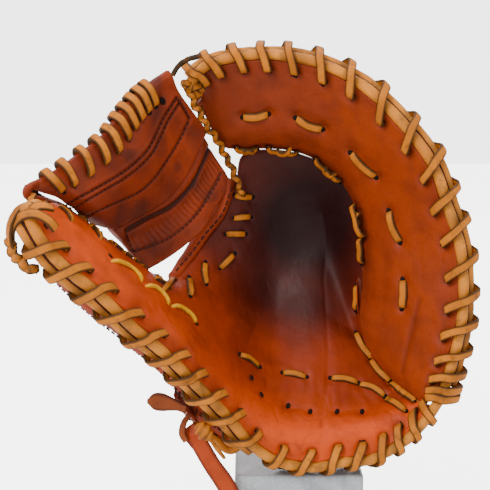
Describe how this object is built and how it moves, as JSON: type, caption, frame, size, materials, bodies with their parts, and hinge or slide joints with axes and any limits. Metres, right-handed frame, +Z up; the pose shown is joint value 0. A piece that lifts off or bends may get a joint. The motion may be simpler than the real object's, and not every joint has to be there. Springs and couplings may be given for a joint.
{
  "type": "first baseman mitt on a display stand",
  "caption": "First baseman mitt with a deep curved pocket, laced rim and web, standing on its heel on a plain block.",
  "frame": {"origin": "centre of the stand block base", "axes": "+Z up, +X to the right as seen from the pocket side, +Y away from that viewer"},
  "size_m": [0.2973, 0.2139, 0.3498],
  "materials": {
    "orange_leather": "worn, slightly glossy",
    "burnt_leather": "worn, slightly glossy",
    "web_leather": "worn, darkened",
    "rolled_binding": "matte, dirty at the seams",
    "lace": "matte rawhide, darker edges",
    "strap_leather": "worn",
    "dark_leather": "matte, crumpled",
    "stand_grey": "plain grey, fine speckle"
  },
  "bodies": {
    "root": {"palm": "orange_leather", "finger_pad": "burnt_leather", "thumb_back": "orange_leather", "finger_back": "burnt_leather", "palm_binding": "rolled_binding", "finger_binding": "rolled_binding", "thumb_back_binding": "rolled_binding", "finger_back_binding": "rolled_binding", "rim_lace_thumb": "lace", "rim_lace_heel": "lace", "rim_lace_finger": "lace", "web_top_bar": "web_leather", "web_bar_lace": "lace", "web_inner_panel": "web_leather", "palm_web_roll": "orange_leather", "web_lace_finger": "lace", "finger_tip_lace": "lace", "thumb_tip_lace": "lace", "web_lace_thumb": "lace", "heel_lining": "dark_leather", "thumb_wrist_binding": "rolled_binding", "finger_wrist_binding": "rolled_binding", "wrist_strap": "strap_leather", "strap_tail": "strap_leather", "strap_tongue": "dark_leather", "strap_loop": "dark_leather", "strap_knot": "lace", "stand": "stand_grey"}
  },
  "joints": []
}
